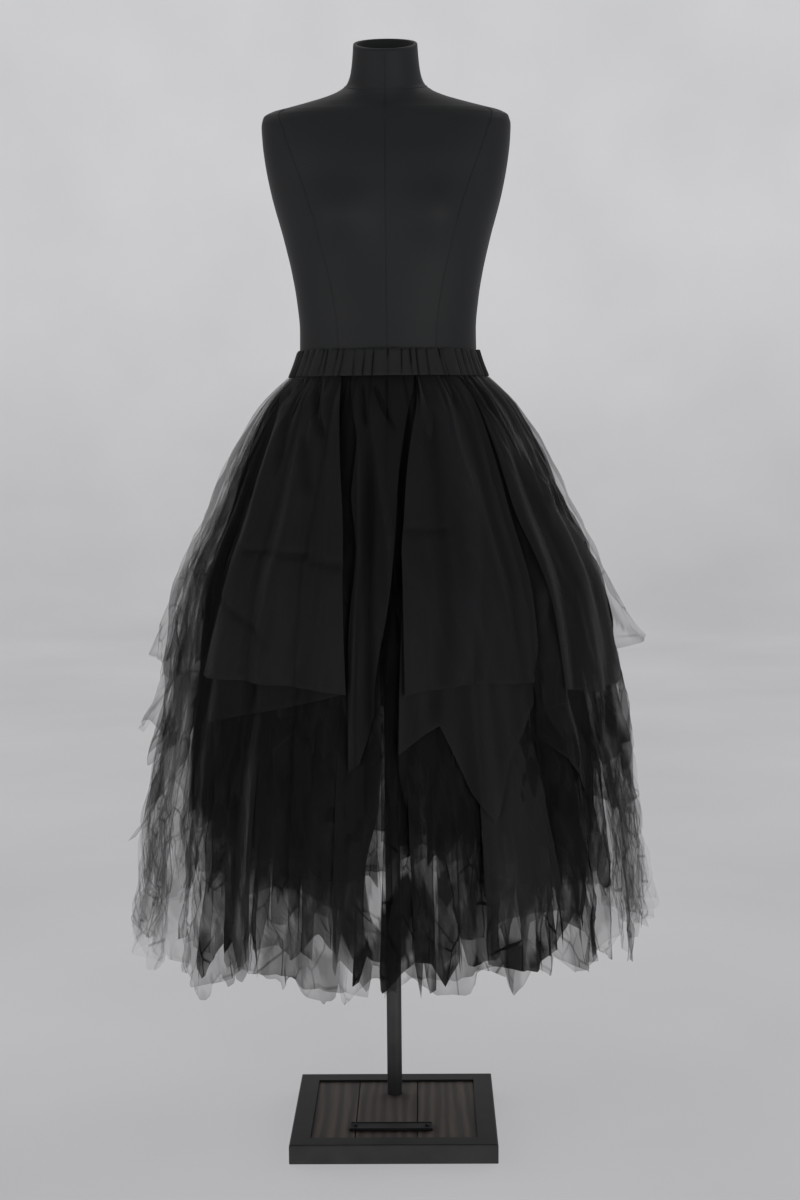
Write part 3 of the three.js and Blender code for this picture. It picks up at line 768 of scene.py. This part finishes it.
# Side edges that wander from a straight fall: angle at each height, left and right
EDGES = {
    "top_front_left": (
        [(SEAM, -68), (1027, -52.5), (986, -49.2), (917, -47.2), (850, -46.2), (784, -46.5), (673, -51.2)],
        [(SEAM, -26), (1054, -21), (959, -15.2), (853, -11.8), (668, -9.5)],
    ),
    "top_front_right": (
        [(SEAM, 16), (1073, 15), (1000, 9), (950, 6.5), (892, 5), (847, 4), (664, 4)],
        [(SEAM, 42), (1043, 41.5), (922, 40.5), (722, 39.5), (664, 36.2)],
    ),
    "top_side_right": (
        [(SEAM, 42.5), (916, 41.5), (840, 43), (754, 44.5), (648, 44.5)],
        [(SEAM, 44.5), (1050, 45.5), (1015, 47.5), (960, 56), (911, 66), (850, 74), (780, 82),
         (700, 86.25)],
    ),
    "middle_front_left": (
        [(SEAM, -60), (900, -52), (640, -47), (600, -47)],
        [(SEAM, -28), (959, -17.5), (853, -14), (664, -9.8)],
    ),
    "middle_centre": (
        [(SEAM, -20), (1040, -14.5), (992, -11), (935, -11.5), (844, -8.5), (740, -9.5), (570, -8.8)],
        [(SEAM, 15), (1025, 8), (950, 4), (877, 2.5), (814, 1.2), (763, -0.2), (712, -2), (661, -3),
         (570, -2.6)],
    ),
    "middle_front_right": (
        [(SEAM, 17), (950, 8), (850, 5), (700, 3), (588, 2.4)],
        [(SEAM, 42), (900, 41), (640, 38)],
    ),
    "long_front_left": (
        [(SEAM, -60), (230, -60)],
        [(SEAM, 0), (850, -1), (700, -1.8), (600, -1.6), (530, -2.2), (440, -5), (380, -4), (330, 1.5),
         (230, 1.5)],
    ),
    "long_front_right": (
        [(SEAM, 0), (850, 1.8), (700, 2.4), (450, 2), (390, 0.5), (330, -1), (230, -1)],
        [(SEAM, 60), (230, 60)],
    ),
}

# Denser drapes of the long layer in front, and four at the back behind the opening: side edges (angle at the
# top, then heights and angles below), hem, torn by, cover, out, tone (painted shade), and True if smooth
FRONT_DRAPES = [
    ((-66, (700, -60), (520, -58)), (-58, (700, -53), (520, -51)), 520, 40, 0.3, 9, 0.6),
    ((-56, (700, -53), (430, -48)), (-48, (700, -44), (430, -43)), 455, 40, 0.5, 6, 0.55),
    ((-50, (700, -44), (430, -42)), (-44, (700, -37), (430, -36)), 430, 40, 0.55, 4, 0.5),
    ((-40, (700, -32), (300, -31)), (-12, (700, -8), (300, -9)), 398, 22, 0.95, 1, 0.5, True),
    ((-30, (700, -28), (300, -30)), (-14, (700, -12), (300, -11)), 330, 40, 0.5, -4, 0.45),
    ((-44, (700, -40), (300, -37.5)), (-36, (700, -30.5), (300, -29)), 306, 24, 0.84, 8, 0.72, True),
    ((-18, (700, -11.5), (300, -11.5)),
     (-8, (850, -3), (700, -1.8), (600, -1.4), (530, -1.8), (440, -4.8), (380, -5.2), (300, -3)),
     300, 30, 0.86, 7, 0.55, True),
    ((-8, (650, -6), (300, -8)),
     (-7.5, (650, -5), (590, -1.5), (520, 0.5), (300, 1)), 306, 30, 0.84, -14, 0.6),
    # Painted shadow: a near-black drape over the pole, standing for the shade inside the skirt
    ((1, (600, -0.4), (300, -2.0)), (6, (600, 5), (300, 6.5)), 300, 22, 0.9, -5, 0.06),
    ((8, (600, 4.2), (300, 5.5)), (20, (600, 15), (300, 14)), 304, 26, 0.72, 4, 0.55),
    ((16, (600, 13), (300, 13.5)), (30, (600, 25), (300, 24)), 345, 44, 0.8, -3, 0.5),
    ((28, (660, 20.5), (300, 21)), (42, (660, 35.5), (520, 38), (300, 41.5)), 372, 14, 0.92, 9, 1.1, True),
    ((27, (660, 22), (300, 22)), (40, (660, 36), (300, 40)), 308, 30, 0.72, -4, 0.5),
    ((44, (660, 37), (300, 40)), (54, (660, 48), (300, 49)), 330, 40, 0.78, 5, 0.45),
    ((52, (660, 46), (380, 47)), (58, (660, 54), (380, 54)), 420, 50, 0.5, 7, 0.5),
    ((60, (660, 56), (380, 57)), (72, (660, 66), (380, 66)), 430, 50, 0.24, 8, 0.6),
    ((70, (660, 70), (380, 72)), (84, (660, 82), (380, 82)), 400, 50, 0.16, 8, 0.6),
    # Painted shade: two dense near-black drapes behind the opening, standing for the dark inside at the back
    ((160, (380, 160)), (179.5, (380, 179.5)), 565, 16, 0.95, -2, 0.1, True),
    ((-182, (380, -182)), (-160, (380, -160)), 585, 16, 0.95, -2, 0.1, True),
    ((157, (380, 157)), (182, (380, 182)), 330, 30, 0.8, 4, 0.5),
    ((-184, (380, -184)), (-158, (380, -158)), 345, 30, 0.8, 7, 0.5),
]
# Denser drapes that fall straighter inside the long layer at the sides: from, to, hem, drawn in by
INNER_DRAPES = [
    (-72, -47, 460, 67.6), (-94, -69, 465, 59.8), (-114, -90, 425, 67.6), (-136, -110, 425, 52),
    (46, 72, 420, 59.8), (68, 94, 400, 70.2), (90, 114, 410, 67.6), (110, 136, 395, 46.8),
]
# How dense the long layer is round the skirt: thin at the sides, where the backdrop shows through
LONG_COVER = smooth(
    [-180, -140, -105, -85, -65, -50, -40, 0, 40, 52, 68, 85, 105, 140, 180],
    [0.66, 0.6, 0.13, 0.08, 0.12, 0.3, 0.46, 0.5, 0.46, 0.34, 0.17, 0.08, 0.13, 0.6, 0.66],
)

# Kinds of net: grid step, torn points, crushed facets, creases and edges, as a ply takes them
FOLDED_NET = {"step": (5.0, 6.0), "teeth": (60, 3), "crush": (60, 0.8, 1.4), "lines": 0.0}
PLAIN_NET = {"step": (4.0, 11.0), "teeth": (40, 10), "crush": (34, 6.0, 8.0), "lines": 0.3}
LOOSE_NET = {**PLAIN_NET, "crush": (30, 8.0, 11.0)}
GORE_NET = {"step": (3.2, 10.0), "teeth": (26, 24), "crush": (24, 3.0, 12.0), "lines": 0.4}
CRUSHED_DRAPE = {"step": (3.6, 12.0), "crush": (22, 3.0, 8.0), "lines": 0.4, "rim": 0.03, "turned": 0.5}
SMOOTH_DRAPE = {"step": (3.6, 12.0), "crush": (44, 1.0, 2.5), "lines": 0.0, "rim": 0.03, "fade": 40}
INNER_DRAPE = {
    "step": (4.5, 12.0), "teeth": (24, 26), "crush": (40, 2.0, 5.0), "lines": 0.1, "rim": 0.03, "fade": 40,
}
DRAPE_TOOTH = 22
DRAPE_TOP, DRAPE_END = 1087, 300  # levels where a drape's side edges start, and where a loose drape's end

# Sizes of loose drapes: the range of each, in the order in which they are drawn
# Their tone ranges paint the loose drapes darker than the panels, as painted shade inside the skirt
BEHIND_FRONT = {
    "span": (3, 8), "hem": (300, 360), "cover": (0.4, 0.7), "out": (-16, -6), "tone": (0.4, 0.7),
    "step": (0.8, 1.2),
}
ROUND_BACK = {
    "span": (6, 17), "share": (0.6, 1.4), "hem": (285, 370), "out": (-4, 9), "tone": (0.45, 0.85),
    "step": (0.8, 1.4),
}
# Runs of them: sizes, from, to, torn by
LOOSE_RUNS = [
    (BEHIND_FRONT, -46, -6, 42), (BEHIND_FRONT, 5, 50, 42),
    (ROUND_BACK, 48, 308, 40), (ROUND_BACK, 120, 236, 40),
]


def loose_drapes():
    """More rows of drapes, behind the front ones and round the sides and the back."""
    rng = np.random.default_rng(31)
    rows = []
    for ranges, angle, end, torn in LOOSE_RUNS:
        while angle < end:
            size = {name: rng.uniform(*limits) for name, limits in ranges.items()}
            middle = angle + size["span"] / 2
            wrap = -360 if middle >= 180 else 0
            if "share" in size:
                size["cover"] = min(0.85, LONG_COVER((middle + 180) % 360 - 180) * size["share"])
            edges = [(a + wrap, (DRAPE_END, a + wrap)) for a in (angle, angle + size["span"])]
            rows.append((*edges, size["hem"], torn, size["cover"], size["out"], size["tone"]))
            angle += size["span"] * size["step"]
    return rows


def make_short_panels():
    """The top and middle layers, one ply to a panel."""
    for layer, panels, seed in (("top", TOP_PANELS, 0), ("middle", MIDDLE_PANELS, 5)):
        for number, (node, (waist, hem, cover)) in enumerate(panels.items()):
            folds = HAND_FOLDS.get(node, [])
            net = FOLDED_NET if folds else LOOSE_NET if "side" in node else PLAIN_NET
            ply = Ply(layer, waist, hem, 100 * number + seed, cover=cover, thins=0.05, folds=folds,
                      edges=EDGES.get(node), tone=PANEL_SHADING.get(node, 1.0), **net)
            make_panel(node, [ply])


def gore_plies(number, name, first, last):
    """The gore's own plies, as dense as the long layer is there and thinner towards the hem."""
    angles, heights, corners = hem_columns(LONG_HEM)
    marks = sorted({first, last, *angles[(first < angles) & (angles < last)]})
    hem = [(a, np.interp(a, angles, heights), np.interp(a, angles, corners)) for a in marks]
    cover = 0.5
    for k in range(1 if "back" in name else 2):
        # Painted shade: the gore's plies are darker than the panels
        ply = Ply("long", (first, last), hem, 900 + 10 * number + k, out=-5.0 * k, cover=cover, tone=0.6,
                  edges=EDGES.get("long_" + name), **GORE_NET)
        share = LONG_COVER(ply.angle) / cover * (1 - 0.3 * ply.down**3)
        ply.cover = np.clip(ply.cover * share.ravel(), 0, 0.97)
        yield ply


def make_gores():
    """The long layer: gores with the drapes whose middle falls in each of them."""
    drapes = FRONT_DRAPES + loose_drapes()
    span = 360 / len(LONG_GORES)
    for number, name in enumerate(LONG_GORES):
        first = -180 + number * span
        last = first + span
        plies = list(gore_plies(number, name, first, last))
        for k, (left, right, low, torn, cover, out, tone, *calm) in enumerate(drapes):
            start, end = left[-1][1], right[-1][1]
            if first <= (start + end) / 2 < last:
                edges = [[(DRAPE_TOP, angle), *points] for angle, *points in (left, right)]
                net = SMOOTH_DRAPE if calm else CRUSHED_DRAPE
                plies.append(Ply("long", (left[0], right[0]), [(start, low), (end, low)], 2000 + 17 * k,
                                 cover=cover, out=out, tone=tone, teeth=(DRAPE_TOOTH, torn), edges=edges,
                                 **net))
        for k, (start, end, low, inset) in enumerate(INNER_DRAPES):
            if first <= (start + end) / 2 < last:
                # Painted shade: inner drapes are darker than the panels
                plies.append(Ply("long", (start, end), [(start, low), (end, low)], 5000 + k, inset=inset,
                                 cover=0.8, tone=0.55, **INNER_DRAPE))
        make_panel("long_" + name, plies)


def node_box(node):
    """A node's lowest and highest corners, in millimetres."""
    low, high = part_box(node)
    return [c / MM for c in low], [c / MM for c in high]


def rounded_box(low, high, radius, steps):
    """A box with rounded edges, from its corners in millimetres."""
    shape = bmesh.new()
    bmesh.ops.create_cube(shape, size=1.0)
    size = [(b - a) * MM for a, b in zip(low, high)]
    middle = [(a + b) / 2 * MM for a, b in zip(low, high)]
    bmesh.ops.scale(shape, vec=size, verts=shape.verts)
    bmesh.ops.translate(shape, vec=middle, verts=shape.verts)
    edges = shape.edges[:]
    bmesh.ops.bevel(shape, geom=edges, offset=radius * MM, segments=steps, profile=0.5, affect="EDGES")
    return shape


# The plate's rounded edge, its rim, the step down from it, and the field's depth
PLATE = {"edge": 0.7, "rim": 1.8, "step": 0.6, "depth": 0.9}
# Its rivets: radius, flattening, how far they stand above the plate and are sunk in it, and from its middle
RIVET = {"radius": 3.2, "flatten": 0.7, "stands": 1.6, "sunk": 0.6, "from_middle": 51}


def make_plate():
    """The bare plate: a raised rim round a flat field, with a domed rivet at each end."""
    low, high = node_box("plate")
    top = high[2] - RIVET["stands"]
    shape = rounded_box(low, (high[0], high[1], top), PLATE["edge"], 2)
    field = max(shape.faces, key=lambda face: (round(face.calc_center_median().z, 6), face.calc_area()))
    bmesh.ops.inset_individual(shape, faces=[field], thickness=PLATE["rim"] * MM, depth=0)
    bmesh.ops.inset_individual(shape, faces=[field], thickness=PLATE["step"] * MM, depth=-PLATE["depth"] * MM)
    middle_x, middle_y = (low[0] + high[0]) / 2, (low[1] + high[1]) / 2
    for side in (-1, 1):
        dome = bmesh.ops.create_uvsphere(shape, u_segments=20, v_segments=12, radius=RIVET["radius"] * MM)
        bmesh.ops.scale(shape, vec=(1, 1, RIVET["flatten"]), verts=dome["verts"])
        place = (middle_x + side * RIVET["from_middle"], middle_y, top - RIVET["sunk"])
        bmesh.ops.translate(shape, vec=[c * MM for c in place], verts=dome["verts"])
    mesh = bpy.data.meshes.new("bare_plate")
    shape.to_mesh(mesh)
    shape.free()
    dress(add_object("bare_plate", mesh, PLATE_STEEL), "plate_steel", "plate")


def make_pole():
    """A round pole with closed ends, on its solid."""
    low, high = node_box("pole")
    radius = (high[0] - low[0]) / 2
    heights = [low[2], *np.linspace(low[2] + 1, high[2] - 1, 12), high[2]]
    ends = [(radius * 0.02, z) for z in (heights[0], heights[-1])]
    points, faces = lathe([ends[0], *[(radius, z) for z in heights], ends[1]], 48)
    dress(make_mesh("pole_tube", points, faces[:, ::-1], POLE_STEEL), "painted_steel", "pole")


def make_base():
    """The tray and the planks are their solids, with better materials."""
    finishes = {"base_tray": TRAY_STEEL, "plank_left": WOOD, "plank_middle": WOOD, "plank_right": WOOD}
    for node, material in finishes.items():
        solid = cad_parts[node]
        solid.data.materials.clear()
        solid.data.materials.append(material)
    make_plate()
    make_pole()


# Soft studio light from all round: where it comes from, strength and how wide it is in degrees
LIGHTS = [
    ("right", (0.75, -1.0, -0.3), 3.3, 50),
    ("left", (-0.9, -1.0, -0.3), 2.7, 50),
    ("back_right", (0.9, 0.8, 0.5), 2.3, 60),
    ("back_left", (-0.9, 0.9, 0.5), 2.3, 60),
]
WORLD = {"colour": (0.98, 0.985, 1.0), "strength": 0.3}
# The stage: flat floor out to a radius, curve up to the wall, and the wall's height
STAGE = {"flat": 6500, "curve": 2500, "height": 9000, "colour": (0.16, 0.16, 0.163)}
STAGE_GLOW = [(0.3, (0.345, 0.345, 0.354)), (0.7, (0.39, 0.39, 0.398))]


def make_floor():
    """A pale round floor that curves up into a far wall."""
    made = Nodes("backdrop", STAGE["colour"], 0.9, Specular_IOR_Level=0.02, Emission_Strength=1.0)
    made.link(made.ramp(made.noise((1.1, 1.1, 1.1), 6.0), *STAGE_GLOW), "Emission Color")
    flat, curve = STAGE["flat"], STAGE["curve"]
    profile = [(20, 0), (1500, 0), (4000, 0), (flat, 0)]
    for turn in np.linspace(0.1, math.pi / 2, 12):
        profile.append((flat + curve * math.sin(turn), curve - curve * math.cos(turn)))
    profile.append((flat + curve, STAGE["height"]))
    floor = make_mesh("floor", *lathe(profile, 96), made.material)
    floor.visible_shadow = False


def make_light():
    world = bpy.data.worlds.new("studio")
    bpy.context.scene.world = world
    world.use_nodes = True
    background = world.node_tree.nodes["Background"]
    background.inputs["Color"].default_value = (*WORLD["colour"], 1)
    background.inputs["Strength"].default_value = WORLD["strength"]
    for name, place, strength, wide in LIGHTS:
        data = bpy.data.lights.new(name, "SUN")
        data.energy = strength
        data.angle = math.radians(wide)
        lamp = bpy.data.objects.new(name, data)
        lamp.rotation_mode = "QUATERNION"
        lamp.rotation_quaternion = (-Vector(place)).to_track_quat("-Z", "Y")
        bpy.context.collection.objects.link(lamp)


# Camera: place in metres, angles in degrees, focal length and picture height in pixels, sensor in millimetres
CAMERA = {"place": (0.0506, -2.730, 1.012), "pitch": 5.17, "yaw": 0.766, "roll": 0.5}
LENS = {"focal": 1879, "rows": 1200, "sensor": 36}


def make_camera():
    data = bpy.data.cameras.new("camera")
    data.sensor_width = LENS["sensor"]
    data.lens = LENS["sensor"] * LENS["focal"] / LENS["rows"]
    camera = bpy.data.objects.new("camera", data)
    pitch, yaw = math.radians(CAMERA["pitch"]), math.radians(CAMERA["yaw"])
    ahead = Vector((-math.sin(yaw) * math.cos(pitch), math.cos(yaw) * math.cos(pitch), -math.sin(pitch)))
    turn = ahead.to_track_quat("-Z", "Y").to_matrix().to_4x4()
    roll = Matrix.Rotation(-math.radians(CAMERA["roll"]), 4, "Z")
    camera.matrix_world = Matrix.Translation(CAMERA["place"]) @ turn @ roll
    bpy.context.collection.objects.link(camera)
    bpy.context.scene.camera = camera


make_camera()
make_floor()
make_light()
make_form()
make_form_seams()
make_waistband()
make_short_panels()
make_gores()
make_base()

# Light passes through all the plies of net, and black cloth needs no bounced light
scene = bpy.context.scene
scene.view_settings.view_transform = "Standard"
scene.cycles.transparent_max_bounces = 24
scene.cycles.max_bounces = 0
